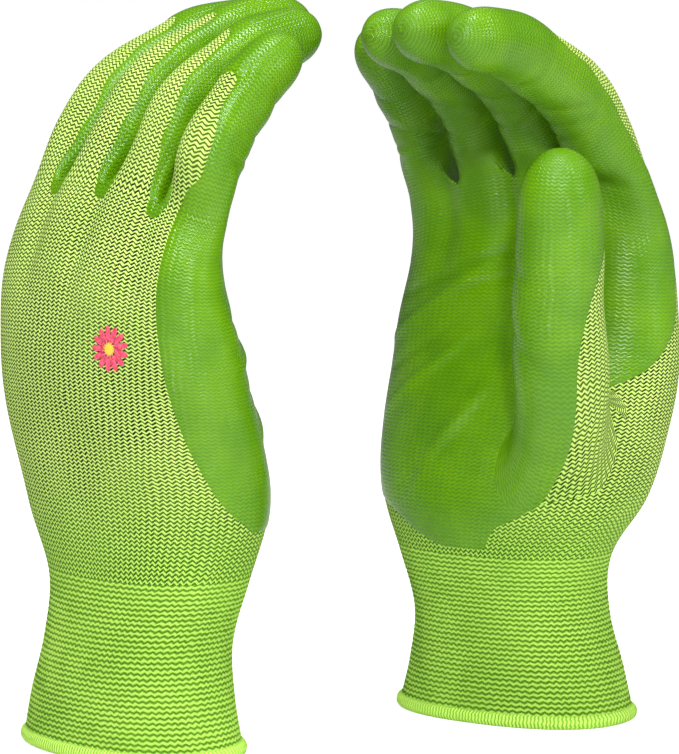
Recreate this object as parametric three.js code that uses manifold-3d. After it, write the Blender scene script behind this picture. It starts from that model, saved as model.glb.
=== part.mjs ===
// A pair of knit gardening gloves, dipped in nitrile, standing on their hems.
// Millimetres, +Z up, origin on the ground in the middle of the pair.
// Each glove is built in its own frame: x points out of the palm, y towards the thumb side.

import * as THREE from 'three';
import { mergeVertices } from 'three/addons/utils/BufferGeometryUtils.js';
import Module from 'manifold-3d';

const wasm = await Module();
wasm.setup();

// Walls and clearances
const KNIT_WALL = 1.0;
const FILM_WALL = 0.8;
const GAP = 0.3;
const PRINT_THICKNESS = 0.4;
const SKIN = FILM_WALL + GAP;

// Heights up the glove
const HEM_HEIGHT = 4;
const CUFF_HEIGHT = 44;
const CUFF_TOP = HEM_HEIGHT + CUFF_HEIGHT;
const PALM_HEIGHT = 90;
const KNUCKLE_LINE = CUFF_TOP + PALM_HEIGHT;
const CROTCH_RISE = 9;
const FILM_START = 8;

// Cross-sections of the hand: height as a share of its own stretch, centre and half sizes
const CUFF_SECTIONS = [
  { at: 0, cx: -1, cy: 0, hx: 24.5, hy: 37 },
  { at: 0.25, cx: -1, cy: 0, hx: 23.5, hy: 33 },
  { at: 0.6, cx: 0.5, cy: -0.5, hx: 22.5, hy: 29.8 },
  { at: 1, cx: 4.5, cy: -0.5, hx: 23, hy: 32.5 },
];
const PALM_SECTIONS = [
  { at: 0, cx: 4.5, cy: -0.5, hx: 23, hy: 32.5 },
  { at: 0.2, cx: 8, cy: 4.5, hx: 25.5, hy: 41 },
  { at: 0.45, cx: 6, cy: 7.5, hx: 25, hy: 45 },
  { at: 0.75, cx: 0.5, cy: 7.5, hx: 21, hy: 45.5 },
  { at: 1, cx: -1.5, cy: 7.5, hx: 16, hy: 43 },
];
const KNUCKLE_SECTION = { at: 1, cx: -1, cy: 7.5, hx: 13, hy: 41.5 };
const SQUARENESS = 2.3;

// Knuckle arch: highest between middle and index finger, falling towards the little finger
const ARCH_CENTRE = 16;
const ARCH_DROP = 0.0022;
const ARCH_MARGIN = 12;

// Fingers: root place (rise above the knuckle line), length, curl from upright at root and tip,
// sideways lean, and radii at root and tip
const FINGERS = [
  { name: 'index', x: 1.5, y: 38, rise: 14, length: 93, curl: [30, 86], lean: -6.5, radii: [11.4, 8.8] },
  { name: 'middle', x: 0, y: 16, rise: 16, length: 91, curl: [28, 87], lean: -5.5, radii: [11, 8.8] },
  { name: 'ring', x: 0, y: -5.5, rise: 13, length: 82, curl: [20, 82], lean: -5, radii: [10.4, 8.4] },
  { name: 'little', x: 0.5, y: -26, rise: 7, length: 65, curl: [12, 54], lean: -3.5, radii: [9.8, 8.2] },
];
const FINGER_START = -7;
const FINGER_FLATNESS = 0.9;

// Curl of a finger: the share of it bent at two joints, and where up the finger each joint bends
const JOINT_SHARE = 0.6;
const JOINTS = [
  { from: 0.25, to: 0.6, part: 0.6 },
  { from: 0.6, to: 0.9, part: 0.4 },
];

// Thumb: three points that its middle line passes, heights above the cuff, then radii and pad side
const THUMB_ROOT = { x: 21, y: 28, rise: 22 };
const THUMB_MIDDLE = { x: 38, y: 38.5, rise: 62 };
const THUMB_TIP = { x: 44, y: 42.5, rise: 121 };
const THUMB_RADII = [14.4, 11.4];
const THUMB_PAD = new THREE.Vector3(0.72, -0.69, 0);
const THUMB_STALL_START = 0.5;

// How far the dip wraps round: 1 is the pad side only's middle, -1 the whole way round
const FINGER_WRAP = -0.45;
const THUMB_WRAP = -0.25;
const PALM_WRAP = -0.75;
const FILM_FOOT_WRAP = 0.3;
const WRAP_FULL = 0.6;
const NAIL_OPENING = 13;

// Print on the back of the hand: place above the cuff and towards the thumb, and its petals
const PRINT_RISE = 66;
const PRINT_SIDE = -12.5;
const PETAL_LENGTH = 6.4;
const PETAL_SPREAD = 0.1;
const PETALS = 13;
const PRINT_DISC = 2.6;

// Hem: how far its roll stands out from the cuff at shares of its height, and its wall
const HEM_ROLL = [
  { at: 0, grow: -0.3 },
  { at: 0.25, grow: 0.6 },
  { at: 0.75, grow: 0.6 },
  { at: 1, grow: -0.1 },
];
const HEM_WALL = 2.5;
const CUFF_WALL = 2;

// Places and turns of the two gloves
const PAIR = [
  { name: 'glove_1', x: -57, y: -25, turn: 41 },
  { name: 'glove_2', x: 52, y: 25, turn: 235 },
];

// Facets
const HAND_SIDES = 24;
const FINGER_SIDES = 10;
const FINGER_STEPS = 5;
const DOME_STEPS = 2;
const DOME_OPEN = 0.35;

// Overshoots that let a cut pass clean through what it cuts
const THROUGH = 1;
const CLEAR = 40;

const MATERIALS = {
  knit: new THREE.MeshStandardMaterial({ color: 0xb4d84e, roughness: 0.9, metalness: 0 }),
  cuff: new THREE.MeshStandardMaterial({ color: 0xa5d755, roughness: 0.9, metalness: 0 }),
  hem: new THREE.MeshStandardMaterial({ color: 0xb2dc66, roughness: 0.95, metalness: 0 }),
  film: new THREE.MeshStandardMaterial({ color: 0x5f9a1c, roughness: 0.35, metalness: 0 }),
  print: new THREE.MeshStandardMaterial({ color: 0xd8403a, roughness: 0.6, metalness: 0 }),
};

// --- solids ---------------------------------------------------------------

/** Turns a closed mesh into a solid that can be cut and joined. */
function solidOf(geometry) {
  const bare = geometry.clone();
  bare.deleteAttribute('normal');
  bare.deleteAttribute('uv');
  const merged = mergeVertices(bare, 1e-4);
  return new wasm.Manifold(new wasm.Mesh({
    numProp: 3,
    vertProperties: new Float32Array(merged.attributes.position.array),
    triVerts: new Uint32Array(merged.index.array),
  }));
}

/** Turns a solid back into a mesh's geometry. */
function geometryOf(solid) {
  const mesh = solid.getMesh();
  const geometry = new THREE.BufferGeometry();
  geometry.setAttribute('position', new THREE.BufferAttribute(mesh.vertProperties, 3));
  geometry.setIndex(new THREE.BufferAttribute(mesh.triVerts, 1));
  geometry.computeVertexNormals();
  return geometry;
}

/** Joins rings of equal length into one closed solid, with a middle point in each end. */
function loft(rings) {
  const sides = rings[0].length;
  const middle = (ring) => ring.reduce((sum, p) => sum.add(p), new THREE.Vector3()).divideScalar(sides);
  const points = [...rings.flat(), middle(rings[0]), middle(rings[rings.length - 1])];
  const bottom = rings.length * sides;
  const top = bottom + 1;
  const last = (rings.length - 1) * sides;
  const index = [];
  for (let j = 0; j < sides; j += 1) {
    const next = (j + 1) % sides;
    for (let i = 0; i < last; i += sides) {
      index.push(i + j, i + next, i + sides + next);
      index.push(i + j, i + sides + next, i + sides + j);
    }
    index.push(bottom, next, j);
    index.push(top, last + j, last + next);
  }
  const geometry = new THREE.BufferGeometry().setFromPoints(points);
  geometry.setIndex(index);
  return solidOf(geometry);
}

// --- the hand --------------------------------------------------------------

/** Knuckle arch: how high the finger roots' line stands at the side position y. */
function archHeight(y) {
  return KNUCKLE_LINE + CROTCH_RISE - ARCH_DROP * (y - ARCH_CENTRE) ** 2;
}

/** One oval ring of the hand, grown outwards by an amount, at a height that may follow y. */
function handRing(section, grow, heightAt) {
  const ring = [];
  for (let j = 0; j < HAND_SIDES; j += 1) {
    const angle = (2 * Math.PI * j) / HAND_SIDES;
    const round = (v) => Math.sign(v) * Math.abs(v) ** (2 / SQUARENESS);
    const x = section.cx + (section.hx + grow) * round(Math.cos(angle));
    const y = section.cy + (section.hy + grow) * round(Math.sin(angle));
    ring.push(new THREE.Vector3(x, y, heightAt(y)));
  }
  return ring;
}

/** Solid stretch of the hand through its sections, with its ends moved out by their extras. */
function handSolid(sections, low, high, grow, below = 0, above = 0) {
  const heights = sections.map((s) => low + s.at * (high - low));
  heights[0] -= below;
  heights[heights.length - 1] += above;
  return loft(sections.map((s, i) => handRing(s, grow, () => heights[i])));
}

/** Everything under the knuckle arch, wider than the hand, with its top moved up by a lift. */
function underArch(lift) {
  const wide = KNUCKLE_SECTION.hx + ARCH_MARGIN;
  const ridge = { ...KNUCKLE_SECTION, hx: 1, hy: KNUCKLE_SECTION.hy / 2 };
  return loft([
    handRing(KNUCKLE_SECTION, wide, () => CUFF_TOP),
    handRing(KNUCKLE_SECTION, wide, (y) => archHeight(y) + lift),
    handRing(ridge, 0, (y) => archHeight(y) + lift),
  ]);
}

/** Solid of the knuckle stretch, from the palm's top to the arch of the finger roots. */
function knuckleSolid(shrink, below, lift) {
  const foot = PALM_SECTIONS[PALM_SECTIONS.length - 1];
  return loft([
    handRing(foot, -shrink, () => KNUCKLE_LINE + GAP - below),
    handRing(KNUCKLE_SECTION, -shrink, () => KNUCKLE_LINE + CROTCH_RISE + KNIT_WALL),
  ]).intersect(underArch(lift));
}

/** Block on the back of the hand, behind the line where the palm's film ends. */
function backOfHand(wrapAt) {
  const far = 2 * CLEAR;
  const last = PALM_SECTIONS.length - 1;
  const past = (i) => (i === last ? CLEAR : 0) - (i === 0 ? CLEAR : 0);
  return loft(PALM_SECTIONS.map((s, i) => {
    const z = CUFF_TOP + s.at * PALM_HEIGHT + past(i);
    const edge = s.cx + wrapAt(s.at) * s.hx;
    return [
      new THREE.Vector3(-far, -far, z),
      new THREE.Vector3(edge, -far, z),
      new THREE.Vector3(edge, far, z),
      new THREE.Vector3(-far, far, z),
    ];
  }));
}

// --- the digits ------------------------------------------------------------

/** Share of a finger's curl reached at a share of its length: part even, part at its joints. */
function curlShare(share) {
  const bent = (joint) => joint.part * THREE.MathUtils.smoothstep(share, joint.from, joint.to);
  const atJoints = JOINTS.reduce((sum, joint) => sum + bent(joint), 0);
  return THREE.MathUtils.lerp(share, atJoints, JOINT_SHARE);
}

/** Frame of a finger at the distance s up it: its middle line is the sum of its curled steps. */
function fingerFrame(finger, s) {
  const steps = 24;
  const lean = THREE.MathUtils.degToRad(finger.lean);
  const curlAt = (d) => {
    const share = curlShare(THREE.MathUtils.clamp(d / finger.length, 0, 1));
    return THREE.MathUtils.degToRad(THREE.MathUtils.lerp(...finger.curl, share));
  };
  const along = (curl) => new THREE.Vector3(
    Math.sin(curl) * Math.cos(lean), Math.sin(lean), Math.cos(curl) * Math.cos(lean));
  const centre = new THREE.Vector3(finger.x, finger.y, KNUCKLE_LINE + finger.rise);
  for (let i = 0; i < steps; i += 1) {
    centre.addScaledVector(along(curlAt(((i + 0.5) / steps) * s)), s / steps);
  }
  return frameOf(centre, along(curlAt(s)), new THREE.Vector3(Math.cos(curlAt(s)), 0, -Math.sin(curlAt(s))));
}

/** The thumb's middle line. */
const thumbLine = new THREE.CatmullRomCurve3(
  [THUMB_ROOT, THUMB_MIDDLE, THUMB_TIP].map((p) => new THREE.Vector3(p.x, p.y, CUFF_TOP + p.rise)));

/** Frame of the thumb at the distance s up its middle line. */
function thumbFrame(s) {
  const share = THREE.MathUtils.clamp(s / thumbLine.getLength(), 0, 1);
  return frameOf(thumbLine.getPointAt(share), thumbLine.getTangentAt(share), THUMB_PAD);
}

/** A right-handed frame: centre, direction up the digit, side its pad faces, and sideways. */
function frameOf(centre, direction, padSide) {
  const along = direction.clone().normalize();
  const pad = padSide.clone().addScaledVector(along, -padSide.dot(along)).normalize();
  const side = new THREE.Vector3().crossVectors(along, pad);
  return { centre, along, pad, side };
}

/** The digits as one list: frame at a distance, length, stall's start, radii, flatness and dip. */
const thumbLength = thumbLine.getLength();
const DIGITS = [
  {
    name: 'thumb', frame: thumbFrame, length: thumbLength, start: THUMB_STALL_START * thumbLength,
    radii: THUMB_RADII, flatness: 1, wrap: THUMB_WRAP,
  },
  ...FINGERS.map((finger) => ({
    name: finger.name, frame: (s) => fingerFrame(finger, s), length: finger.length,
    start: FINGER_START, radii: finger.radii, flatness: FINGER_FLATNESS, wrap: FINGER_WRAP,
  })),
];

/** Outer radius of a digit at the distance s, round at the tip. */
function digitRadius(digit, s) {
  const share = THREE.MathUtils.clamp(s / digit.length, 0, 1);
  return THREE.MathUtils.lerp(digit.radii[0], digit.radii[1], share);
}

/** Ring of points round a digit's frame, narrower sideways by its flatness and a shrink. */
function digitRing(frame, radius, flatness, shrink) {
  const ring = [];
  for (let j = 0; j < FINGER_SIDES; j += 1) {
    const angle = (2 * Math.PI * j) / FINGER_SIDES;
    ring.push(frame.centre.clone()
      .addScaledVector(frame.pad, (radius - shrink) * Math.cos(angle))
      .addScaledVector(frame.side, (radius * flatness - shrink) * Math.sin(angle)));
  }
  return ring;
}

/** Solid digit between two distances, shrunk by an amount, with a domed tip if it ends there. */
function digitSolid(digit, from, to, shrink, domed) {
  const tip = digit.radii[1] - shrink;
  const shoulder = domed ? digit.length - digit.radii[1] : to;
  const rings = [];
  for (let i = 0; i <= FINGER_STEPS; i += 1) {
    const s = THREE.MathUtils.lerp(from, shoulder, i / FINGER_STEPS);
    rings.push(digitRing(digit.frame(s), digitRadius(digit, s), digit.flatness, shrink));
  }
  if (domed) {
    for (let i = 1; i <= DOME_STEPS; i += 1) {
      const angle = (Math.PI / 2) * (i / (DOME_STEPS + DOME_OPEN));
      const share = Math.cos(angle);
      const wide = digitRadius(digit, shoulder) * share;
      const frame = digit.frame(shoulder + tip * Math.sin(angle));
      rings.push(digitRing(frame, wide, digit.flatness, shrink * share));
    }
  }
  return loft(rings);
}

/** Block along the nail side of a digit, which the dip leaves bare up to the tip. */
function nailSide(digit) {
  const end = digit.length - NAIL_OPENING;
  const out = 1.5;
  const rings = [];
  for (let i = 0; i <= FINGER_STEPS; i += 1) {
    const s = THREE.MathUtils.lerp(digit.start - digit.radii[0], end, i / FINGER_STEPS);
    const frame = digit.frame(s);
    const radius = digitRadius(digit, s);
    const corner = (pad, side) => frame.centre.clone()
      .addScaledVector(frame.pad, pad * radius)
      .addScaledVector(frame.side, side * radius);
    rings.push([corner(-out, -out), corner(digit.wrap, -out), corner(digit.wrap, out), corner(-out, out)]);
  }
  return loft(rings);
}

// --- pieces of one glove ----------------------------------------------------

/** Knitted tube round the hand, with the hole that the thumb leaves through. */
function palmKnit(thumb) {
  return handSolid(PALM_SECTIONS, CUFF_TOP + GAP, KNUCKLE_LINE, -SKIN)
    .subtract(handSolid(PALM_SECTIONS, CUFF_TOP + GAP, KNUCKLE_LINE, -SKIN - KNIT_WALL, THROUGH, THROUGH))
    .subtract(digitSolid(thumb, 0, thumb.start, SKIN + KNIT_WALL, false));
}

/** Knuckle stretch closed at the top, with a hole for each finger. */
function crotchKnit(fingers) {
  let solid = knuckleSolid(SKIN, 0, 0).subtract(knuckleSolid(SKIN + KNIT_WALL, THROUGH, -KNIT_WALL));
  for (const finger of fingers) {
    const from = finger.start - 3 * THROUGH;
    solid = solid.subtract(digitSolid(finger, from, finger.length / 3, SKIN + KNIT_WALL, false));
  }
  return solid;
}

/** Gusset round the thumb's root, from the palm's surface up to the thumb's stall. */
function thumbRootKnit(thumb) {
  return digitSolid(thumb, 0, thumb.start - GAP, SKIN, false)
    .subtract(digitSolid(thumb, -THROUGH, thumb.start + THROUGH, SKIN + KNIT_WALL, false))
    .subtract(handSolid(PALM_SECTIONS, CUFF_TOP, KNUCKLE_LINE, GAP - SKIN, THROUGH, THROUGH));
}

/** Knitted stall: a tube closed at the tip, open at the root. */
function stallKnit(digit) {
  return digitSolid(digit, digit.start, digit.length, SKIN, true)
    .subtract(digitSolid(digit, digit.start - THROUGH, digit.length, SKIN + KNIT_WALL, true))
    .subtract(underArch(GAP));
}

/** Film on a stall, all round at the tip and open over the nail side. */
function stallFilm(digit) {
  return digitSolid(digit, digit.start, digit.length, 0, true)
    .subtract(digitSolid(digit, digit.start - THROUGH, digit.length, FILM_WALL, true))
    .subtract(nailSide(digit))
    .subtract(underArch(GAP));
}

/** Film over the palm, cut clear of the thumb's gusset. */
function palmFilm(thumb) {
  const shell = handSolid(PALM_SECTIONS, CUFF_TOP + GAP, KNUCKLE_LINE, 0)
    .subtract(handSolid(PALM_SECTIONS, CUFF_TOP + GAP, KNUCKLE_LINE, -FILM_WALL, THROUGH, THROUGH));
  const foot = loft([
    handRing(PALM_SECTIONS[0], CLEAR, () => 0),
    handRing(PALM_SECTIONS[0], CLEAR, () => CUFF_TOP + FILM_START),
  ]);
  const wrapAt = (share) => THREE.MathUtils.lerp(FILM_FOOT_WRAP, PALM_WRAP, Math.min(1, share / WRAP_FULL));
  return shell.subtract(foot)
    .subtract(backOfHand(wrapAt))
    .subtract(digitSolid(thumb, 0, thumb.start + thumb.radii[0] / 2, FILM_WALL, false));
}

/** Elastic cuff: a waisted knitted tube above the hem. */
function cuffKnit() {
  return handSolid(CUFF_SECTIONS, HEM_HEIGHT + GAP, CUFF_TOP, 0)
    .subtract(handSolid(CUFF_SECTIONS, HEM_HEIGHT + GAP, CUFF_TOP, -CUFF_WALL, THROUGH, THROUGH));
}

/** Rolled hem: a ring thicker than the cuff, rounded outside and inside, flat underneath. */
function hemOverlock() {
  const foot = CUFF_SECTIONS[0];
  const outer = loft(HEM_ROLL.map((r) => handRing(foot, r.grow, () => r.at * HEM_HEIGHT)));
  const inner = loft([
    handRing(foot, -HEM_WALL, () => -THROUGH),
    handRing(foot, -HEM_WALL, () => HEM_HEIGHT + THROUGH),
  ]);
  return outer.subtract(inner);
}

/** Daisy print that follows the back of the hand: each petal has a notch and two shoulders. */
function flowerPrint() {
  const petal = (2 * Math.PI) / PETALS;
  const points = [];
  for (let i = 0; i < PETALS; i += 1) {
    points.push([PRINT_DISC, i * petal]);
    points.push([PETAL_LENGTH, (i + 1 / 3 + PETAL_SPREAD) * petal]);
    points.push([PETAL_LENGTH, (i + 2 / 3 - PETAL_SPREAD) * petal]);
  }
  const outline = new THREE.Shape(
    points.map(([r, turn]) => new THREE.Vector2(r * Math.cos(turn), r * Math.sin(turn))));
  const prism = new THREE.ExtrudeGeometry(outline, { depth: 2 * CLEAR, bevelEnabled: false, steps: 1 });
  prism.rotateY(-Math.PI / 2);
  prism.translate(0, PRINT_SIDE, CUFF_TOP + PRINT_RISE);
  return handSolid(PALM_SECTIONS, CUFF_TOP, KNUCKLE_LINE, GAP - SKIN + PRINT_THICKNESS)
    .subtract(handSolid(PALM_SECTIONS, CUFF_TOP, KNUCKLE_LINE, GAP - SKIN, THROUGH, THROUGH))
    .intersect(solidOf(prism));
}

/** All pieces of one glove, as rows of name, solid and material. */
function glovePieces() {
  const [thumb, ...fingers] = DIGITS;
  const pieces = [
    ['hem_overlock', hemOverlock(), MATERIALS.hem],
    ['cuff_knit', cuffKnit(), MATERIALS.cuff],
    ['palm_knit', palmKnit(thumb), MATERIALS.knit],
    ['palm_coating', palmFilm(thumb), MATERIALS.film],
    ['crotch_knit', crotchKnit(fingers), MATERIALS.knit],
    ['thumb_root_knit', thumbRootKnit(thumb), MATERIALS.knit],
    ['flower_print', flowerPrint(), MATERIALS.print],
  ];
  for (const digit of DIGITS) {
    pieces.push([`${digit.name}_knit`, stallKnit(digit), MATERIALS.knit]);
    pieces.push([`${digit.name}_coating`, stallFilm(digit), MATERIALS.film]);
  }
  return pieces;
}

// --- the pair ----------------------------------------------------------------

const gloves = new THREE.Group();
const pieces = glovePieces();
for (const place of PAIR) {
  const glove = new THREE.Group();
  glove.position.set(place.x, place.y, 0);
  glove.rotation.z = THREE.MathUtils.degToRad(place.turn);
  for (const [name, solid, material] of pieces) {
    const mesh = new THREE.Mesh(geometryOf(solid), material);
    mesh.name = `${place.name}_${name}`;
    glove.add(mesh);
  }
  gloves.add(glove);
}

// The origin lies under the middle of the pair's box
const middle = new THREE.Box3().setFromObject(gloves, true).getCenter(new THREE.Vector3());
gloves.position.set(-middle.x, -middle.y, 0);

export default gloves;
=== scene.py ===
"""A pair of knit garden gloves with a dipped nitrile palm, standing on their hems.

Each glove is worked out in its own frame in millimetres: x points out of the palm, y towards the
thumb, z up from the hem. Every surface is a grid of points: columns run up the glove, rows round it.
"""
import math
import bpy
import numpy as np
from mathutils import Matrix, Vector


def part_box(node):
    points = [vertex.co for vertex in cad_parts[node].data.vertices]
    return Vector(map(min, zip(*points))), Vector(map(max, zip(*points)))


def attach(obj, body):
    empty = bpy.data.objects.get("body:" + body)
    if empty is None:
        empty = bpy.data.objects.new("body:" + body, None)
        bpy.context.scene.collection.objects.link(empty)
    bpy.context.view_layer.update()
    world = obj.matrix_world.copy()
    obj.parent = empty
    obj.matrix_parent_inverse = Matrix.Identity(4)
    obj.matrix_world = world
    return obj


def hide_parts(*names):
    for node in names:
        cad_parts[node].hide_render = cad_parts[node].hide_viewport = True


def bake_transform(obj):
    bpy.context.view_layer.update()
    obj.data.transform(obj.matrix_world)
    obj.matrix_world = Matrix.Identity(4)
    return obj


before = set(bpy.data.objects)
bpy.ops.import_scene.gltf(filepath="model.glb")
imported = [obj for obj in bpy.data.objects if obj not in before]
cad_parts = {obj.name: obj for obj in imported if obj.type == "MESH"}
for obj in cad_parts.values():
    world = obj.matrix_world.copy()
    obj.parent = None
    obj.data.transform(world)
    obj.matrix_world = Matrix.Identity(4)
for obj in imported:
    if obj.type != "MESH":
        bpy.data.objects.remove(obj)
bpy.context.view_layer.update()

MM = 0.001
GLOVES = ("glove_1", "glove_2")
TURNS = {"glove_1": math.radians(41), "glove_2": math.radians(235)}

# Sections of the hand, hem to knuckles: height, centre x and y, half thickness, half width
SECTIONS = np.array([
    (0, -1, 0, 24.5, 37),
    (15, -1, 0, 23.5, 33),
    (30, 0.5, -0.5, 22.5, 29.8),
    (48, 4.5, -0.5, 23, 32.5),
    (66, 8, 4.5, 25.5, 41),
    (88.5, 6, 7.5, 25, 45),
    (115.5, 0.5, 7.5, 21, 45.5),
    (138, -1.5, 7.5, 16, 43),
    (151, 0.5, 7.5, 12.8, 41.5),
    (159, 3.5, 7.5, 11.6, 40.5),
])
SQUARENESS = 2.3
CUFF_TOP = 50.0
KNUCKLES = 159.0
ARCH_CENTRE, ARCH_DROP = 16.0, 0.0042
WEBS = (-17.0, 5.3, 27.2)
WEB_SKEW = (5.0, 2.0, 0.0)
FILM_PROUD = 0.35
FILM_SUNK = -0.4

# Fingers: root, length, curl at root and tip, sideways lean, radii at root and tip
FINGERS = {
    "little": ((0.5, -26, 145), 65, (12, 54), -3.5, (9.8, 8.2)),
    "ring": ((0, -5.5, 151), 81, (20, 82), -5, (10.4, 8.4)),
    "middle": ((0, 16, 154), 91, (28, 87), -5.5, (11.0, 8.8)),
    "index": ((1.5, 38, 152), 93, (30, 86), -6.5, (11.4, 8.8)),
}
FINGER_FREE = 21.0
DOME = 1.5
FINGER_SLIM = 0.92
NAIL_FILM = {"little": 16.0, "ring": 25.0, "middle": 27.0, "index": 30.0}
WEB_SAG = 2.5
WEB_COAT = 3.2
THUMB_POINTS = np.array([(21, 28, 70), (38, 38.5, 110), (44, 42.5, 169)], float)
THUMB_RADII = (14.4, 11.4)
THUMB_PAD = np.array((0.72, -0.69, 0))
THUMB_FREE = 43.0
THUMB_BEND = (48.0, 62.0)
FINGER_BEND = (1.0, 16.0)

# The oval loop on the hand that the thumb grows from: centre and half size, angle then height
THUMB_LOOP = (math.radians(40), 77.0)
THUMB_LOOP_HALF = (math.radians(33), 25.0)

# Edge of the dip: height, then how far round it lies, as the cosine of the angle from the palm
DIP_ULNAR = ((50, 0.75), (58, 0.42), (70, -0.13), (84, -0.42), (104, -0.6), (116, -0.64), (159, -0.64))
DIP_RADIAL = ((50, 1.0), (58, 0.98), (66, 0.88), (78, 0.8), (92, 0.95), (98, 0.8), (106, 0.3), (114, 0.02),
              (130, -0.18), (159, -0.3))
DIP_THUMB = ((48, 1.1), (60, 0.5), (74, 0.05), (84, -0.12), (97, -0.17), (112, -0.23), (126, -0.5),
             (141, -0.95), (155, -1.3))

HAND_COLUMNS = 208
WEB_COLUMNS = 18
WALE, COURSE, CUFF_COURSE = 2.1, 1.12, 1.5


# --- numbers -----------------------------------------------------------------

def smooth(low, high, x):
    """Goes from 0 at low to 1 at high with level ends."""
    t = np.clip((x - low) / (high - low), 0, 1)
    return t * t * (3 - 2 * t)


def bump(x, centre, width):
    """A bell of height 1 at the centre."""
    return np.exp(-((x - centre) / width) ** 2)


def unit(v):
    return v / np.maximum(np.linalg.norm(v, axis=-1, keepdims=True), 1e-9)


def through(rows, x):
    """Smooth curve through a table's rows: cubic between them, slopes from their neighbours."""
    rows = np.asarray(rows, float)
    at, values = rows[:, 0], rows[:, 1:]
    slopes = np.gradient(values, at, axis=0)
    x = np.clip(np.asarray(x, float), at[0], at[-1])
    i = np.clip(np.searchsorted(at, x, side="right") - 1, 0, len(at) - 2)
    span = at[i + 1] - at[i]
    t = ((x - at[i]) / span)[..., None]
    span = span[..., None]
    return ((2 * t**3 - 3 * t**2 + 1) * values[i] + (t**3 - 2 * t**2 + t) * span * slopes[i]
            + (3 * t**2 - 2 * t**3) * values[i + 1] + (t**3 - t**2) * span * slopes[i + 1])


def hermite(start, leave, end, arrive, rows):
    """Cubic columns from start points to end points with given slopes at both."""
    t = np.linspace(0, 1, rows)[:, None, None]
    return ((2 * t**3 - 3 * t**2 + 1) * start + (t**3 - 2 * t**2 + t) * leave
            + (3 * t**2 - 2 * t**3) * end + (t**3 - t**2) * arrive)


# --- the hand ------------------------------------------------------------------

def even_angles(columns):
    """Angles round the oval that step evenly along its edge."""
    fine = np.linspace(0, 2 * np.pi, 4001)
    edge = oval(fine, 0, 0, 23.5, 44)
    length = np.r_[0, np.cumsum(np.hypot(*np.diff(edge, axis=0).T))]
    return np.interp(np.arange(columns) / columns * length[-1], length, fine)


def oval(angle, cx, cy, hx, hy):
    """Squarish oval: each coordinate is a power of the cosine or sine, keeping its sign."""
    c, s = np.cos(angle), np.sin(angle)
    power = 2 / SQUARENESS
    x = cx + hx * np.sign(c) * np.abs(c) ** power
    y = cy + hy * np.sign(s) * np.abs(s) ** power
    return np.stack(np.broadcast_arrays(x, y), -1)


def arch(y):
    """Height of the finger roots' line, highest under the middle finger."""
    return KNUCKLES - ARCH_DROP * (y - ARCH_CENTRE) ** 2


def hand_surface(angle, height):
    """Point of the hand's skin: its section's oval, with soft tendons, pads and creases."""
    cx, cy, hx, hy = np.moveaxis(through(SECTIONS, height), -1, 0)
    flat = oval(angle, cx, cy, hx, hy)
    c, s = np.cos(angle), np.sin(angle)
    y = flat[..., 1]
    upper = smooth(118, 150, height)
    valleys = sum(bump(y, web, 4.5) for web in WEBS) * smooth(0.15, 0.6, np.abs(c))
    swell = -2.2 * upper * valleys
    swell = swell + 1.2 * smooth(0.2, 0.9, c) * bump(height, 131, 9)
    swell = swell - 1.1 * smooth(0.3, 0.9, c) * bump(height, 112, 13) * bump(y, 4, 16)
    swell = swell + 0.35 * np.sin(0.13 * height + 2 * angle) * np.sin(3 * angle + 0.05 * height)
    swell = swell * smooth(44, 60, height)
    for (y0, z0), (y1, z1), deep, wide in PALM_CREASES:
        along = np.array((y1 - y0, z1 - z0), float)
        t = np.clip(((y - y0) * along[0] + (height - z0) * along[1]) / (along @ along), 0, 1)
        off = np.hypot(y - y0 - t * along[0], height - z0 - t * along[1])
        swell = swell - deep * np.exp(-(off / wide) ** 2) * smooth(0.1, 0.6, c) * (1 - (2 * t - 1) ** 4 * 0.7)
    outward = unit(np.stack((c / hx, s / hy), -1))
    flat = flat + outward * swell[..., None]
    return np.concatenate((flat, np.broadcast_to(height, y.shape)[..., None]), -1)


# Palm creases: from and to (y, z), depth (negative is a ridge), half width
PALM_CREASES = (
    ((-32, 126), (12, 139), 1.3, 1.7),
    ((-36, 112), (-2, 132), -1.2, 1.8),
    ((-34, 102), (-6, 118), 0.9, 1.6),
    ((-32, 90), (-4, 112), -1.2, 1.7),
    ((-8, 126), (22, 134), 0.7, 1.4),
    ((-14, 72), (8, 100), -1.2, 2.2),
    ((-22, 66), (-2, 84), 0.8, 2.0),
)


# --- the digits ------------------------------------------------------------------

def finger_line(name, s):
    """Middle line of a finger: its tilt grows partly evenly and mostly at two joints; place sums it."""
    root, length, curl, lean, _ = FINGERS[name]
    lean = math.radians(lean)
    fine = np.linspace(-10, length + 3, 600)
    share = np.clip(fine / length, 0, 1)
    bend = 0.4 * share + 0.36 * smooth(0.25, 0.6, share) + 0.24 * smooth(0.6, 0.9, share)
    tilt = np.radians(curl[0] + (curl[1] - curl[0]) * bend)
    way = np.stack((np.sin(tilt) * math.cos(lean), np.full_like(tilt, math.sin(lean)),
                    np.cos(tilt) * math.cos(lean)), -1)
    place = np.cumsum(way, axis=0) * (fine[1] - fine[0])
    place = place - np.stack([np.interp(0, fine, axis) for axis in place.T]) + np.array(root, float)
    pad = np.stack((np.cos(tilt), 0 * tilt, -np.sin(tilt)), -1)

    def at(table):
        return np.stack([np.interp(s, fine, axis) for axis in table.T], -1)
    return at(place), unit(at(way)), at(pad)


def thumb_line(s):
    """Middle line of the thumb: a smooth curve through its points."""
    steps = np.r_[0, np.cumsum(np.linalg.norm(np.diff(THUMB_POINTS, axis=0), axis=1))]
    table = np.column_stack((steps, THUMB_POINTS))
    centre = through(table, s)
    ahead, behind = np.minimum(s + 1, steps[-1]), np.minimum(s, steps[-1] - 0.5)
    along = unit(through(table, ahead) - through(table, behind))
    over = np.maximum(s - steps[-1], 0)[..., None]
    return centre + over * along, along, np.broadcast_to(THUMB_PAD, centre.shape)


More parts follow.
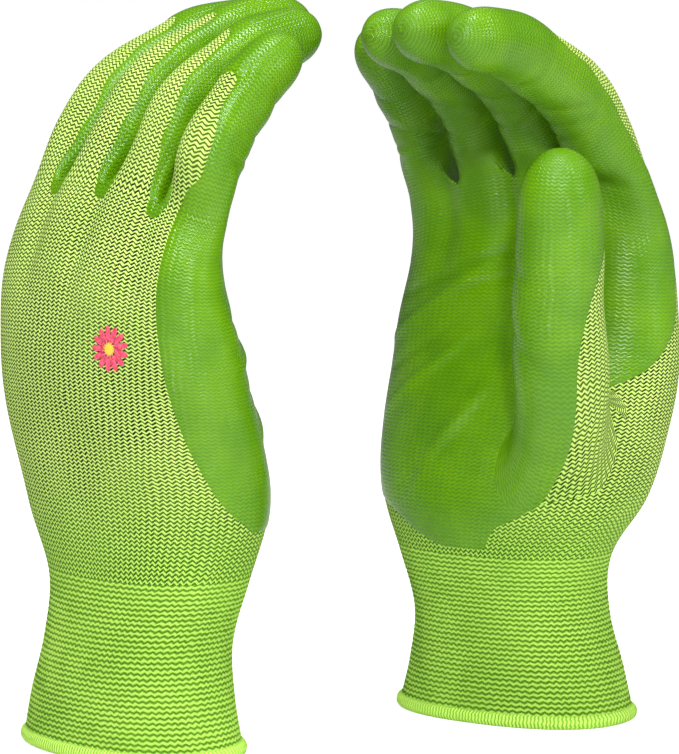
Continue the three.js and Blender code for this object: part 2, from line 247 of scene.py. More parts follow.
# Folds on the pad side of a digit: place as a share of its length, depth, half width, slant
FINGER_FOLDS = (
    (0.33, 0.3, 0.02, 0.07),
    (0.38, 0.5, 0.022, -0.06),
    (0.44, 0.35, 0.016, 0.08),
    (0.56, -0.5, 0.05, 0.08),
    (0.70, 0.4, 0.02, 0.05),
)


def digit_rings(line, s, radius, angle, length, slim=1.0):
    """Rings round a middle line: each point is out from the line at its angle from the pad side."""
    centre, along, pad = line(s)
    pad = unit(pad - along * (pad * along).sum(-1, keepdims=True))
    side = np.cross(along, pad)
    c, d = np.cos(angle)[None, :, None], np.sin(angle)[None, :, None]
    share = (s / length)[:, None]
    r = radius(s)[:, None] * np.ones_like(angle)[None]
    front, turn = np.cos(angle)[None], angle[None]
    r = r + 1.5 * bump(share, 0.38, 0.16) * smooth(0.1, -0.9, front)
    r = r + 0.7 * bump(share, 0.72, 0.08) * smooth(0.2, -0.8, front)
    for at, depth, wide, skew in FINGER_FOLDS:
        r = r - depth * bump(share, at + skew * np.sin(turn + 5 * at), wide) * smooth(-0.25, 0.6, front)
    r = r + 0.14 * np.sin(7 * share + 2 * turn + length) * np.sin(3 * turn + 4 * share)
    return centre[:, None] + r[..., None] * (c * pad[:, None] + slim * d * side[:, None])


def digit_radius(radii, length):
    """Radius up a digit: an even taper, then a dome over the last stretch."""
    tip = radii[1] * DOME

    def radius(s):
        plain = radii[0] + (radii[1] - radii[0]) * np.clip(s / length, 0, 1)
        into = np.clip((s - (length - tip)) / tip, 0, 0.9995)
        return plain * (1 - into ** 2.2) ** (1 / 2.2)
    return radius


def tip_steps(start, length, tip, rows):
    """Distances up a digit, closer together over the dome."""
    body = np.linspace(start, length - tip, rows)
    dome = length - tip + tip * np.sin(np.linspace(0, np.pi / 2, 16))[1:]
    return np.r_[body, dome]


# --- grids of one glove --------------------------------------------------------------

def grid_normals(points):
    """Outward directions of a grid: round the ring crossed with up the column."""
    around = np.roll(points, -1, 1) - np.roll(points, 1, 1)
    up = np.gradient(points, axis=0)
    return unit(np.cross(around, up))


def palm_grid():
    """The hand from the cuff's top to the finger roots, and its dip mask."""
    angle = even_angles(HAND_COLUMNS)
    rows = 116
    t = np.linspace(0, 1, rows)[:, None]
    nominal = CUFF_TOP + t * (KNUCKLES - CUFF_TOP) * np.ones_like(angle)[None]
    points = hand_surface(np.broadcast_to(angle, nominal.shape), nominal)
    top = arch(points[-1, :, 1])
    points[..., 2] += (top - KNUCKLES)[None] * t ** 2
    height = points[..., 2]
    c, s = np.cos(angle)[None], np.sin(angle)[None]
    ulnar = through(DIP_ULNAR, height)[..., 0]
    radial = through(DIP_RADIAL, height)[..., 0]
    edge = ulnar + (radial - ulnar) * smooth(-0.25, 0.25, s)
    low = 52 + 11 * smooth(-0.1, -0.9, s)
    mask = np.minimum((c - edge) * 22, (height - low) * 0.8)
    for web in WEBS:
        below = np.hypot(points[..., 1] - web, (arch(web) - height) * 0.8)
        mask = np.maximum(mask, WEB_COAT - below)
    return points, mask


def finger_base(name, palm):
    """The ring a finger starts from: arcs of the knuckle line, closed by the webs between fingers.

    Gives, by column, the point, the slope it leaves with, how much it is web, the dip mask and the
    count of wales. Columns near a web lean towards it, so that the web is round. The wales go on from
    the hand's, and each web takes as many as leave the pattern unbroken.
    """
    points, mask, u = palm
    top, slope = points[-1], unit(points[-1] - points[-3])
    y, columns = top[:, 1], len(top)
    front, back = (np.where(side)[0] for side in (top[:, 0] > -0.5, top[:, 0] <= -0.5))
    order = ("little", "ring", "middle", "index").index(name)
    low = WEBS[order - 1] if order > 0 else None
    high = WEBS[order] if order < len(WEBS) else None

    def nearest(side, web):
        return side[np.argmin(np.abs(y[side] - web))]

    def arc(first, last):
        raw = np.arange(first, last + 1 if last >= first else last + columns + 1)
        picked = raw % columns
        leave = slope[picked]
        for web, way in ((low, 1.0), (high, -1.0)):
            if web is not None:
                near = bump(y[picked], np.where(top[picked][:, 0] > -0.5, skewed(web), web), 3.0)[:, None]
                leave = unit(leave * (1 - 0.8 * near) + 0.8 * near * np.array((0, way, 0.15)))
        count = u[-1][picked] + u[-1][-1] * (raw >= columns)
        return top[picked], leave, np.zeros(len(picked)), mask[-1][picked], count

    def skewed(web):
        return web + WEB_SKEW[WEBS.index(web)]

    def web(first, last, way):
        t = np.linspace(0, 1, WEB_COLUMNS + 2)[1:-1, None]
        line = top[first] * (1 - t) + top[last] * t
        line[:, 2] -= WEB_SAG * np.sin(np.pi * t[:, 0])
        leave = np.broadcast_to(unit(np.array((0, way, 0.2))), line.shape)
        return line, leave, np.ones(WEB_COLUMNS), np.full(WEB_COLUMNS, 5.0), t[:, 0]

    corners = {}
    for label, at in (("low", low), ("high", high)):
        if at is not None:
            corners[label] = nearest(front, skewed(at)), nearest(back, at)
    if low is None:
        parts = [arc(corners["high"][1], corners["high"][0]), web(*corners["high"], -1.0)]
    elif high is None:
        parts = [arc(*corners["low"]), web(*corners["low"][::-1], 1.0)]
    else:
        parts = [arc(corners["low"][0], corners["high"][0]), web(*corners["high"], -1.0),
                 arc(corners["high"][1], corners["low"][1]), web(*corners["low"][::-1], 1.0)]
    shift, counts = 0.0, []
    for i, part in enumerate(parts):
        if i % 2 == 0:
            counts.append(part[4] + shift)
            continue
        after = parts[(i + 1) % len(parts)]
        wide = np.linalg.norm(after[0][0] - parts[i - 1][0][-1]) * 1.2 / WALE
        step = after[4][0] + shift - counts[-1][-1]
        turns = round(wide - step)
        counts.append(counts[-1][-1] + (step + turns) * part[4])
        shift += turns
    counts.append([parts[0][4][0] + shift])
    return *(np.concatenate([part[k] for part in parts]) for k in range(4)), np.concatenate(counts)


def finger_grid(name, palm):
    """A finger: cubic columns from its root ring to its free rings, then rings up to the tip."""
    _, length, _, _, radii = FINGERS[name]
    radii = tuple(r - FILM_PROUD for r in radii)
    start, leave, inner, root_mask, wales = finger_base(name, palm)

    def line(s):
        return finger_line(name, s)

    spread = start - line(np.array([0.0]))[0]
    angle = np.unwrap(np.arctan2(spread[:, 1], spread[:, 0]))
    even = angle[0] + 2 * np.pi * np.arange(len(angle)) / len(angle)
    angle = 0.5 * angle + 0.5 * (even + (angle - even).mean())
    s = tip_steps(FINGER_FREE, length, radii[1] * DOME, int(length * 0.9))
    rings = digit_rings(line, s, digit_radius(radii, length), angle, length, FINGER_SLIM)
    gap = np.linalg.norm(rings[0] - start, axis=1, keepdims=True)
    arrive = unit(rings[1] - rings[0])
    foot = hermite(start, leave * gap * (1 - 0.2 * inner[:, None]), rings[0], arrive * gap, 22)[:-1]
    points = np.concatenate((foot, rings))
    run = np.r_[np.linspace(0, FINGER_FREE, 22)[:-1], s][:, None]
    front = np.cos(angle)[None]
    ulnar = smooth(0, -0.5, np.sin(angle))[None]
    bare = length - NAIL_FILM[name]
    radial = smooth(0, 0.5, np.sin(angle))[None]
    wrap = -0.42 - 0.25 * smooth(0.3 * bare, bare, run) - (0.26 if name == "little" else 0.36) * ulnar
    wrap = wrap + (0.2 * radial * smooth(bare, 0.5 * bare, run) if name == "index" else 0)
    fade = smooth(bare - 9, bare + 4, run + 2.5 * np.sin(angle[None] * 2 + length))
    own = (front - wrap) * 9 + 16 * fade ** 2
    mask = root_mask[None] + (own - root_mask[None]) * smooth(2, 20, run)
    return points, mask + 0.25 * np.sin(run * 0.45 + angle[None] * 3), wales


def thumb_grid():
    """The thumb: columns leave the hand along its skin from an oval loop and turn up into rings."""
    columns = 84
    angle = 2 * np.pi * np.arange(columns) / columns
    radii = tuple(r - FILM_PROUD for r in THUMB_RADII)
    length = float(np.linalg.norm(np.diff(THUMB_POINTS, axis=0), axis=1).sum())
    loop_angle = THUMB_LOOP[0] - THUMB_LOOP_HALF[0] * np.cos(angle)
    loop_height = THUMB_LOOP[1] - THUMB_LOOP_HALF[1] * np.sin(angle)
    start = hand_surface(loop_angle, loop_height)
    step = 0.05
    nearer = hand_surface(loop_angle + step * (THUMB_LOOP[0] - loop_angle),
                          loop_height + step * (THUMB_LOOP[1] - loop_height))
    s = tip_steps(THUMB_FREE, length, radii[1] * DOME, 60)
    rings = digit_rings(thumb_line, s, digit_radius(radii, length), angle, length)
    gap = np.linalg.norm(rings[0] - start, axis=1, keepdims=True)
    leave = unit(unit(nearer - start) + np.array((0, 0, 0.5)))
    arrive = unit((rings[1] - rings[0]).mean(0))[None]
    foot = hermite(start, leave * gap * 0.9, rings[0], arrive * gap * 1.1, 44)[:-1]
    points = np.concatenate((foot, rings))
    sunk = np.exp(-np.arange(len(points)) / 1.5)[:, None, None] * 0.5
    points = points - grid_normals(points) * sunk
    height = points[..., 2]
    wrap = through(DIP_THUMB, height)[..., 0]
    return points, (np.cos(angle)[None] - wrap) * 11


# --- meshes -----------------------------------------------------------------------

def placed(points, glove):
    """From the glove's own frame to the shared frame, in metres."""
    turn = TURNS[glove]
    c, s = math.cos(turn), math.sin(turn)
    x, y, z = np.moveaxis(points, -1, 0)
    origin = ORIGINS[glove]
    return np.stack((c * x - s * y + origin[0], s * x + c * y + origin[1], z), -1) * MM


def origin_of(glove):
    """The glove's hem centre, from its hem's box in the frame."""
    low, high = (np.array(corner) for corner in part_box(f"{glove}_hem_overlock"))
    turn = TURNS[glove]
    shift = np.array((math.cos(turn), math.sin(turn))) * SECTIONS[0, 1]
    return (low + high)[:2] / 2 / MM - shift


def grid_object(name, points, glove, u, v, keep=None, cap=False, wall=0.0, rim=True):
    """Turns a grid into a mesh object with its weave UVs, keeping the faces asked for."""
    rows, columns = points.shape[:2]
    i, j = np.meshgrid(np.arange(rows - 1), np.arange(columns), indexing="ij")
    k = (j + 1) % columns
    faces = np.stack((i * columns + j, i * columns + k, (i + 1) * columns + k, (i + 1) * columns + j), -1)
    corner_u = np.stack((u[i, j], u[i, j + 1], u[i + 1, j + 1], u[i + 1, j]), -1)
    corner_v = np.stack((v[i, j], v[i, k], v[i + 1, k], v[i + 1, j]), -1)
    chosen = np.ones(faces.shape[:2], bool) if keep is None else keep[faces].any(-1)
    faces, corner_u, corner_v = faces[chosen], corner_u[chosen], corner_v[chosen]
    used, packed = np.unique(faces, return_inverse=True)
    packed = packed.reshape(faces.shape)
    flat = placed(points, glove).reshape(-1, 3)[used]
    mesh = bpy.data.meshes.new(name)
    polygons = packed.tolist()
    if cap:
        last = np.searchsorted(used, (rows - 1) * columns + np.arange(columns))
        polygons.append(last.tolist())
    mesh.from_pydata(flat.tolist(), [], polygons)
    uv = mesh.uv_layers.new(name="weave")
    pairs = np.stack((corner_u, corner_v), -1).reshape(-1, 2)
    if cap:
        pairs = np.concatenate((pairs, np.tile(pairs[-1:], (columns, 1))))
    uv.data.foreach_set("uv", pairs.astype(np.float32).ravel())
    mesh.polygons.foreach_set("use_smooth", np.ones(len(mesh.polygons), bool))
    mesh.update()
    piece = bpy.data.objects.new(name, mesh)
    bpy.context.scene.collection.objects.link(piece)
    if wall:
        shell = piece.modifiers.new("wall", "SOLIDIFY")
        shell.thickness = wall * MM
        shell.offset = -1
        shell.use_rim = rim
    return piece


def wales_round(points, wale=WALE):
    """Count of wales round a grid's rings: a whole number in all, even along the edge."""
    rows = len(points)
    steps = np.linalg.norm(np.roll(points, -1, 1) - points, axis=-1)[rows // 3]
    total = round(steps.sum() / wale)
    return np.r_[0, np.cumsum(steps)] / steps.sum() * total


def weave_uv(points, wales, course, v0=0.0):
    """Stitch counts over a grid: wales round its rings and courses up its columns."""
    shape = (len(points), len(wales))
    rise = np.linalg.norm(np.diff(points, axis=0), axis=-1).mean(1)
    v = v0 + np.r_[0, np.cumsum(rise / course)]
    return np.broadcast_to(wales, shape), np.broadcast_to(v[:, None], shape)


def film_over(points, mask):
    """The dipped film: the skin moved out where the mask is on and sunk under it where it is off."""
    lift = FILM_SUNK + (FILM_PROUD - FILM_SUNK) * smooth(-1.0, 1.2, mask)
    return points + grid_normals(points) * lift[..., None], mask.ravel() > -1.0


# --- shader groups --------------------------------------------------------------------

class Wiring:
    """Adds nodes to a tree and joins them, so that a formula reads as a few short lines."""

    def __init__(self, tree):
        self.tree = tree

    def node(self, kind, **settings):
        made = self.tree.nodes.new(kind)
        for key, value in settings.items():
            setattr(made, key, value)
        return made

    def put(self, socket, value):
        if isinstance(value, bpy.types.NodeSocket):
            self.tree.links.new(value, socket)
        elif value is not None:
            socket.default_value = value

    def math(self, operation, a, b=None, clamp=False):
        made = self.node("ShaderNodeMath", operation=operation, use_clamp=clamp)
        for socket, value in zip(made.inputs, (a, b)):
            self.put(socket, value)
        return made.outputs[0]

    def span(self, value, low, high):
        made = self.node("ShaderNodeMapRange", interpolation_type="SMOOTHSTEP")
        for socket, item in zip(made.inputs, (value, low, high)):
            self.put(socket, item)
        return made.outputs[0]

    def mix(self, factor, a, b):
        made = self.node("ShaderNodeMix", data_type="RGBA")
        self.put(made.inputs[0], factor)
        self.put(made.inputs[6], a)
        self.put(made.inputs[7], b)
        return made.outputs[2]

    def noise(self, vector, scale, detail=2.0, rough=0.5):
        made = self.node("ShaderNodeTexNoise")
        self.put(made.inputs["Vector"], vector)
        made.inputs["Scale"].default_value = scale
        made.inputs["Detail"].default_value = detail
        made.inputs["Roughness"].default_value = rough
        return made.outputs[0]


def new_group(name, inputs, outputs):
    """A shader node group with float inputs and float outputs."""
    tree = bpy.data.node_groups.new(name, "ShaderNodeTree")
    for label, value in inputs:
        socket = tree.interface.new_socket(label, in_out="INPUT", socket_type="NodeSocketFloat")
        socket.default_value = value
    for label in outputs:
        tree.interface.new_socket(label, in_out="OUTPUT", socket_type="NodeSocketFloat")
    wiring = Wiring(tree)
    return tree, wiring, wiring.node("NodeGroupInput"), wiring.node("NodeGroupOutput")


def stitch_group():
    """Knit stitches: rows of yarn bent by a wave, one wale long, with a gap dash in each wale that the
    materials darken as painted shade.

    The yarn is a half sine across its row. Between rows the gap is thin, and it opens into a dash
    where the wave falls, as the two sides of a stitch part there. Slow noise lets rows drift.
    """
    inputs = (("Wave", 0.25), ("Stagger", 0.0), ("Open", 1.0))
    tree, w, given, out = new_group("knit stitches", inputs, ("Height", "Gap", "Crown highlight and fuzz"))
    parts = w.node("ShaderNodeSeparateXYZ")
    w.put(parts.inputs[0], w.node("ShaderNodeUVMap", uv_map="weave").outputs[0])
    where = w.node("ShaderNodeTexCoord").outputs["Object"]
    drift = w.math("SUBTRACT", w.noise(where, 90.0, 2.0), 0.5)
    jitter = w.math("SUBTRACT", w.noise(where, 420.0, 2.0), 0.5)
    u = w.math("ADD", parts.outputs[0], w.math("MULTIPLY", drift, 1.6))
    turn = w.math("MULTIPLY", u, 2 * math.pi)
    bent = w.math("ADD", parts.outputs[1], w.math("MULTIPLY", w.math("SINE", turn), given.outputs["Wave"]))
    bent = w.math("ADD", bent, w.math("MULTIPLY", jitter, 0.4))
    row = w.math("FLOOR", bent)
    yarn = w.math("SINE", w.math("MULTIPLY", w.math("SUBTRACT", bent, row), math.pi))
    shift = w.math("MULTIPLY", w.math("MULTIPLY", row, math.pi), given.outputs["Stagger"])
    falling = w.math("COSINE", w.math("ADD", w.math("ADD", turn, math.pi), shift))
    slow = w.span(w.noise(where, 26.0, 2.0), 0.35, 0.65)
    dash = w.math("MULTIPLY", w.span(yarn, 0.97, 0.6), w.span(falling, -0.4, 0.25))
    dash = w.math("MULTIPLY", dash, w.math("ADD", 0.7, w.math("MULTIPLY", slow, 0.3)))
    thin = w.math("MULTIPLY", w.span(yarn, 0.75, 0.2), 0.75)
    # Gap mask: shapes the bump, and the materials darken it as painted shade
    gap = w.math("MULTIPLY", w.math("MAXIMUM", dash, thin), given.outputs["Open"], clamp=True)
    hair = w.noise(where, 2600.0, 3.0, 0.7)
    height = w.math("SUBTRACT", w.math("POWER", yarn, 0.6), w.math("MULTIPLY", gap, 0.7))
    height = w.math("ADD", height, w.math("MULTIPLY", hair, 0.35))
    # Painted highlight: brightest on the yarn's crown, with random fibre fuzz
    crown_highlight_and_fuzz = w.math("ADD", w.math("MULTIPLY", yarn, 0.75), w.math("MULTIPLY", hair, 0.35))
    for label, value in (("Height", height), ("Gap", gap), ("Crown highlight and fuzz", crown_highlight_and_fuzz)):
        w.put(out.inputs[label], value)
    return tree


def patch_group():
    """Slow changes over the whole glove, in patches of a few centimetres."""
    tree, w, _, out = new_group("slow changes", (), ("Patch",))
    where = w.node("ShaderNodeTexCoord").outputs["Object"]
    w.put(out.inputs["Patch"], w.span(w.noise(where, 45.0, 3.0), 0.3, 0.7))
    return tree


def rgb(red, green, blue):
    """A colour given as screen values out of 255, as linear light."""
    shares = (c / 255 for c in (red, green, blue))
    linear = [((c + 0.055) / 1.055) ** 2.4 if c > 10 / 255 else c / 12.92 for c in shares]
    return (*linear, 1.0)


def new_material(name, roughness):
    material = bpy.data.materials.new(name)
    material.use_nodes = True
    w = Wiring(material.node_tree)
    shader = material.node_tree.nodes["Principled BSDF"]
    shader.inputs["Roughness"].default_value = roughness
    return material, w, shader


def placed_group(w, tree, **values):
    made = w.node("ShaderNodeGroup")
    made.node_tree = tree
    for label, value in values.items():
        made.inputs[label].default_value = value
    return made


def bump_to(w, shader, height, strength, distance):
    made = w.node("ShaderNodeBump")
    made.inputs["Strength"].default_value = strength
    made.inputs["Distance"].default_value = distance * MM
    w.put(made.inputs["Height"], height)
    w.put(shader.inputs["Normal"], made.outputs[0])


# Yarn tones: each row's crown with a painted highlight, its flanks, and the painted shade seen in the gaps
HAND_YARN_AND_PAINTED_LIGHT = rgb(206, 236, 124), rgb(142, 188, 54), rgb(8, 26, 0)
CUFF_YARN_AND_PAINTED_LIGHT = rgb(174, 216, 88), rgb(122, 178, 40), rgb(48, 100, 8)
HEM_YARN_AND_PAINTED_LIGHT = rgb(206, 246, 112), rgb(162, 222, 74), rgb(104, 168, 26)


def yarn_material(name, tones, relief, wave, stagger, gaps, foot=None):
    """Knitted yarn: a painted highlight on the crown of each row, mid at its flanks, and painted shade, near
    dark, in the gaps.

    A foot gives the tones that the yarn takes on as it comes down to the cuff."""
    material, w, shader = new_material(name, 0.85)
    light, mid, deep = tones
    if foot:
        parts = w.node("ShaderNodeSeparateXYZ")
        w.put(parts.inputs[0], w.node("ShaderNodeTexCoord").outputs["Object"])
        low = w.span(parts.outputs[2], 0.086, 0.05)
        light, mid, deep = (w.mix(low, own, other) for own, other in zip(tones, foot))
    knit = placed_group(w, STITCHES, Wave=wave, Stagger=stagger, Open=gaps)
    slow = placed_group(w, CHANGES)
    # Painted highlight: mid at the flanks, light on each row's crown
    colour = w.mix(w.span(knit.outputs["Crown highlight and fuzz"], 0.3, 0.95), mid, light)
    colour = w.mix(w.math("MULTIPLY", slow.outputs["Patch"], 0.25), colour, mid)
    # Painted shade: near dark in the gaps between rows and stitches
    colour = w.mix(knit.outputs["Gap"], colour, deep)
    w.put(shader.inputs["Base Color"], colour)
    shader.inputs["Sheen Weight"].default_value = 0.08
    shader.inputs["Sheen Roughness"].default_value = 0.4
    shader.inputs["Sheen Tint"].default_value = tones[0]
    shader.inputs["Specular IOR Level"].default_value = 0.2
    bump_to(w, shader, knit.outputs["Height"], 1.0, relief)
    return material


def film_material():
    """Dipped nitrile: glossy green film that the knit's rows press through, with painted shade in the gaps
    between rows and a painted highlight on their crowns.
    """
    material, w, shader = new_material("dipped film", 0.3)
    knit = placed_group(w, STITCHES, Wave=0.2, Stagger=0.0, Open=1.0)
    slow = placed_group(w, CHANGES)
    where = w.node("ShaderNodeTexCoord").outputs["Object"]
    thin = w.span(w.noise(where, 70.0, 3.0), 0.3, 0.7)
    colour = w.mix(thin, rgb(76, 130, 0), rgb(94, 146, 0))
    # Painted shade: darker green in the knit's gaps
    colour = w.mix(w.math("MULTIPLY", knit.outputs["Gap"], 0.3), colour, rgb(40, 92, 0))
    # Painted highlight: paler green on the rows' crowns
    colour = w.mix(w.math("MULTIPLY", knit.outputs["Crown highlight and fuzz"], 0.1), colour, rgb(160, 214, 40))
    w.put(shader.inputs["Base Color"], colour)
    w.put(shader.inputs["Roughness"], w.math("ADD", 0.17, w.math("MULTIPLY", slow.outputs["Patch"], 0.12)))
    shader.inputs["Specular IOR Level"].default_value = 0.34
    grain = w.noise(where, 1300.0, 3.0, 0.6)
    height = w.math("ADD", knit.outputs["Height"], w.math("MULTIPLY", grain, 0.25))
    bump_to(w, shader, height, 0.7, 0.14)
    return material


def print_material():
    """Transfer print: petals run from a pale rim to a deep heart, and the middle is yellow."""
    material, w, shader = new_material("flower transfer", 0.55)
    parts = w.node("ShaderNodeSeparateXYZ")
    w.put(parts.inputs[0], w.node("ShaderNodeUVMap", uv_map="weave").outputs[0])
    out = parts.outputs[1]
    where = w.node("ShaderNodeTexCoord").outputs["Object"]
    streak = w.noise(where, 1400.0, 2.0)
    red = w.mix(w.span(out, 1.0, 2.0), rgb(120, 8, 40), rgb(216, 44, 84))
    red = w.mix(w.span(streak, 0.35, 0.65), red, rgb(236, 96, 120))
    colour = w.mix(w.span(out, 0.9, 0.95), rgb(240, 200, 60), red)
    w.put(shader.inputs["Base Color"], colour)
    bump_to(w, shader, streak, 0.4, 0.1)
    return material


# --- pieces ------------------------------------------------------------------------------

def finish_piece(piece, material, body, replaced):
    piece.data.materials.append(material)
    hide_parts(*replaced)
    if body:
        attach(piece, body)


def blend_digit(piece):
    """Bakes the digit's placement into its mesh."""
    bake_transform(piece)


def finger_bend(name, root):
    """Two points along the finger's first way, past the whole root by the FINGER_BEND distances."""
    middle, way, _ = (part[0] for part in finger_line(name, np.array([0.0])))
    reach = ((root - middle) @ way).max()
    return tuple(middle + way * (reach + beyond) for beyond in FINGER_BEND)


def cuff(glove):
    """The elastic cuff: each row of yarn stands out as a ridge, with loops along it."""
    angle = even_angles(232)
    rows = int((CUFF_TOP - 2.5) / CUFF_COURSE * 6)
    z = np.linspace(2.5, CUFF_TOP, rows)[:, None] * np.ones_like(angle)[None]
    points = hand_surface(np.broadcast_to(angle, z.shape), z)
    u, v = weave_uv(points, wales_round(points), CUFF_COURSE)
    v = v - v[-1, 0]
    wave = v[:, :-1] + 0.22 * np.sin(2 * np.pi * u[:, :-1])
    ridge = np.abs(np.sin(np.pi * wave)) ** 0.8
    loops = 0.5 + 0.5 * np.cos(2 * np.pi * u[:, :-1] + np.pi * np.floor(wave))
    depth = ((ridge - 1) * 0.3 + loops * 0.22 - 0.2) * smooth(CUFF_TOP, CUFF_TOP - 10, z)
    points = points + grid_normals(points) * depth[..., None]
    piece = grid_object(f"{glove}_cuff", points, glove, u, v, wall=1.2)
    finish_piece(piece, MATERIALS["cuff"], f"{glove}_hand", [f"{glove}_cuff_knit"])


def hem(glove):
    """The rolled hem: an oval roll round the cuff's foot, ridged by its overlock thread."""
    across = np.linspace(0, 2 * np.pi, 21)[:-1]
    columns = 1400
    around = even_angles(columns)
    edge = hand_surface(around, np.full(columns, 1.9))
    out = unit(np.stack((np.cos(around) / 24.5, np.sin(around) / 37, 0 * around), -1))
    stitches = 170
    phase = stitches * np.arange(columns) / columns
    ridge = 1 + 0.13 * np.abs(np.sin(np.pi * (phase[None] + 0.09 * np.cos(across)[:, None] * 6)))
    ridge = ridge + 0.05 * np.sin(9.3 * phase[None] / 7 + across[:, None] * 2)
    flat = np.where(np.sin(across) < 0, 0.92, 1.0)
    wide = (1.25 * np.cos(across) - 0.35)[:, None] * ridge
    tall = (1.95 * np.sin(across) * flat)[:, None] * (0.93 + 0.07 * ridge)
    tall = np.maximum(tall, -1.88)
    points = edge[None] + out[None] * wide[..., None]
    points[..., 2] += tall + 0.02
    points = points.transpose(1, 0, 2)[::-1]
    points = np.concatenate((points, points[:1]))
    u = np.broadcast_to(np.arange(21) / 20 * 6, (columns + 1, 21))
    v = np.broadcast_to((np.arange(columns + 1) / columns * stitches)[:, None], (columns + 1, 21))
    piece = grid_object(f"{glove}_hem", points, glove, u, v)
    weld = piece.modifiers.new("join", "WELD")
    weld.merge_threshold = 1e-6
    finish_piece(piece, MATERIALS["hem"], f"{glove}_hand", [f"{glove}_hem_overlock"])


def palm_pieces(glove):
    """The knitted hand and the film over its palm."""
    points, mask = palm_grid()
    height = points[1:, :, 2].mean(1)
    course = CUFF_COURSE + (COURSE - CUFF_COURSE) * smooth(50, 80, height)
    u, v = weave_uv(points, wales_round(points), course)
    knit = grid_object(f"{glove}_hand_knit", points, glove, u, v, wall=0.8, rim=False)
    finish_piece(knit, MATERIALS["knit"], f"{glove}_hand",
                 [f"{glove}_palm_knit", f"{glove}_crotch_knit", f"{glove}_thumb_root_knit"])
    skin, keep = film_over(points, mask)
    film = grid_object(f"{glove}_palm_film", skin, glove, u, v, keep=keep, wall=0.2, rim=False)
    finish_piece(film, MATERIALS["film"], f"{glove}_hand", [f"{glove}_palm_coating"])
    return (points, mask, u), v[-1, 0]


def digit_pieces(glove, palm, palm_courses):
    """Each digit's knitted stall and the film on it."""
    for digit in ("thumb", *FINGERS):
        if digit == "thumb":
            points, mask = thumb_grid()
            ends = thumb_line(np.array(THUMB_BEND))[0]
            wales, start = wales_round(points), 30.0
        else:
            points, mask, wales = finger_grid(digit, palm)
            ends = finger_bend(digit, points[0])
            start = palm_courses
        u, v = weave_uv(points, wales, COURSE, start)
        knit = grid_object(f"{glove}_{digit}_stall", points, glove, u, v, cap=True, wall=0.7, rim=False)
        skin, keep = film_over(points, mask)
        film = grid_object(f"{glove}_{digit}_film", skin, glove, u, v, keep=keep, cap=True,
                           wall=0.2, rim=False)
        finish_piece(knit, MATERIALS["knit"], None, [f"{glove}_{digit}_knit"])
        finish_piece(film, MATERIALS["film"], None, [f"{glove}_{digit}_coating"])
        for piece in (knit, film):
            blend_digit(piece)


def flower(glove):
    """Daisy transfer: rings of points whose radius follows the petals, laid on the back of the hand."""
    petals, reach, middle_y, middle_z = 13, 6.4, -13.5, 115
    around = np.linspace(0, 2 * np.pi, petals * 12, endpoint=False)
    share = np.linspace(0.02, 1, 26)[:, None]
    lobe = np.abs(np.cos(around * petals / 2)) ** 0.55
    edge = (0.40 + 0.60 * lobe) * reach
    r = share * edge[None]
    y = middle_y + r * np.cos(around)[None]
    z = middle_z + r * np.sin(around)[None]
    cx, cy, hx, hy = np.moveaxis(through(SECTIONS, z), -1, 0)
    sine = np.sign(y - cy) * np.abs((y - cy) / hy) ** (SQUARENESS / 2)
    angle = np.pi - np.arcsin(np.clip(sine, -1, 1))
    points = hand_surface(angle, z)
    dome = 0.22 * bump(r, 0, 1.5) + 0.10
    points[..., 0] -= dome
    u = np.broadcast_to(np.arange(len(around) + 1) / 12, (26, len(around) + 1))
    v = np.concatenate((r, r[:, :1]), 1) * 0.55
    piece = grid_object(f"{glove}_flower", points[:, ::-1], glove, u, v, wall=0.2)
    finish_piece(piece, MATERIALS["print"], f"{glove}_hand", [f"{glove}_flower_print"])


# --- the stage ---------------------------------------------------------------------------

# Where the camera looks and from how far, in metres; its angle above level; its lens in millimetres
CAMERA_HEIGHT, CAMERA_DISTANCE, CAMERA_TILT, CAMERA_LENS = 0.102, 1.2, 6.5, 222.7

# Lamps: place, size and power
LAMPS = {
    "key light": ((-0.3, -0.75, 0.85), 0.22, 4.4),
    "side light": ((0.8, -0.45, 0.5), 0.3, 2.5),
    "top light": ((0.05, -0.1, 1.0), 0.25, 6.5),
    "front light": ((0.12, -1.1, 0.7), 0.1, 7.0),
}
LAMP_TARGET = np.array((0, 0, 0.1))

def camera_view():
    """A long lens, a little above the gloves."""
    target = np.array((0, 0, CAMERA_HEIGHT))
    tilt = math.radians(CAMERA_TILT)
    spot = target + CAMERA_DISTANCE * np.array((0, -math.cos(tilt), math.sin(tilt)))
    camera = bpy.data.objects.new("camera", bpy.data.cameras.new("camera"))
    camera.location = spot
    camera.rotation_euler = (math.pi / 2 - tilt, 0, 0)
    camera.data.sensor_fit = "HORIZONTAL"
    camera.data.sensor_width = 36
    camera.data.lens = CAMERA_LENS
    bpy.context.scene.collection.objects.link(camera)
    bpy.context.scene.camera = camera


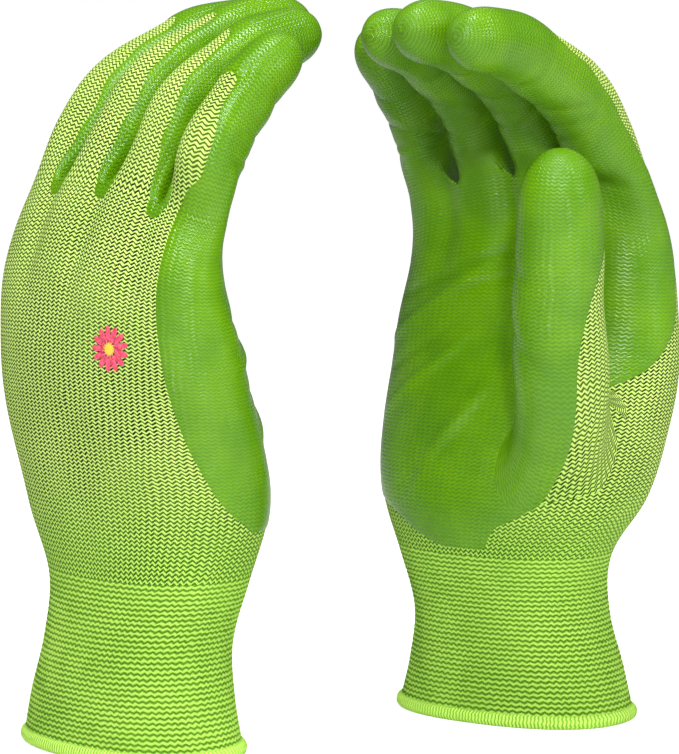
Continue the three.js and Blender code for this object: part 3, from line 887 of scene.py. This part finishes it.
def floor():
    """A wide pale floor that shows almost as bright as the background."""
    mesh = bpy.data.meshes.new("floor")
    mesh.from_pydata([(-6, -6, 0), (6, -6, 0), (6, 6, 0), (-6, 6, 0)], [], [(0, 1, 2, 3)])
    plane = bpy.data.objects.new("floor", mesh)
    bpy.context.scene.collection.objects.link(plane)
    pale, w, shader = new_material("pale floor", 0.8)
    shader.inputs["Base Color"].default_value = (0.9, 0.9, 0.9, 1)
    shader.inputs["Emission Color"].default_value = (1, 1, 1, 1)
    seen = w.node("ShaderNodeLightPath").outputs["Is Camera Ray"]
    w.put(shader.inputs["Emission Strength"], w.math("MULTIPLY", seen, 0.7))
    mesh.materials.append(pale)


def lights():
    """White surroundings, dimmer as light than as background, and four soft square lamps."""
    world = bpy.data.worlds.new("studio")
    world.use_nodes = True
    w = Wiring(world.node_tree)
    background = world.node_tree.nodes["Background"]
    background.inputs[0].default_value = (1, 1, 1, 1)
    path = w.node("ShaderNodeLightPath")
    seen, gloss = path.outputs["Is Camera Ray"], path.outputs["Is Glossy Ray"]
    shown = w.math("ADD", 0.38, w.math("MULTIPLY", seen, 0.62))
    w.put(background.inputs[1], w.math("SUBTRACT", shown, w.math("MULTIPLY", gloss, 0.26)))
    bpy.context.scene.world = world
    bpy.context.scene.view_settings.view_transform = "Standard"
    for name, (place, size, power) in LAMPS.items():
        lamp = bpy.data.objects.new(name, bpy.data.lights.new(name, "AREA"))
        lamp.data.size = size
        lamp.data.energy = power
        lamp.location = place
        toward = LAMP_TARGET - np.array(place)
        lamp.rotation_euler = (math.acos(-toward[2] / np.linalg.norm(toward)), 0,
                               math.atan2(toward[1], toward[0]) - math.pi / 2)
        bpy.context.scene.collection.objects.link(lamp)


camera_view()
floor()
lights()
STITCHES, CHANGES = stitch_group(), patch_group()
MATERIALS = {
    "knit": yarn_material("hand yarn", HAND_YARN_AND_PAINTED_LIGHT, 0.3, 0.26, 0.0, 1.0, CUFF_YARN_AND_PAINTED_LIGHT),
    "cuff": yarn_material("cuff yarn", CUFF_YARN_AND_PAINTED_LIGHT, 0.3, 0.14, 1.0, 0.65),
    "hem": yarn_material("overlock thread", HEM_YARN_AND_PAINTED_LIGHT, 0.3, 0.1, 0.0, 0.3),
    "film": film_material(),
    "print": print_material(),
}
ORIGINS = {glove: origin_of(glove) for glove in GLOVES}
for glove in GLOVES:
    cuff(glove)
    hem(glove)
    palm, courses = palm_pieces(glove)
    digit_pieces(glove, palm, courses)
    flower(glove)
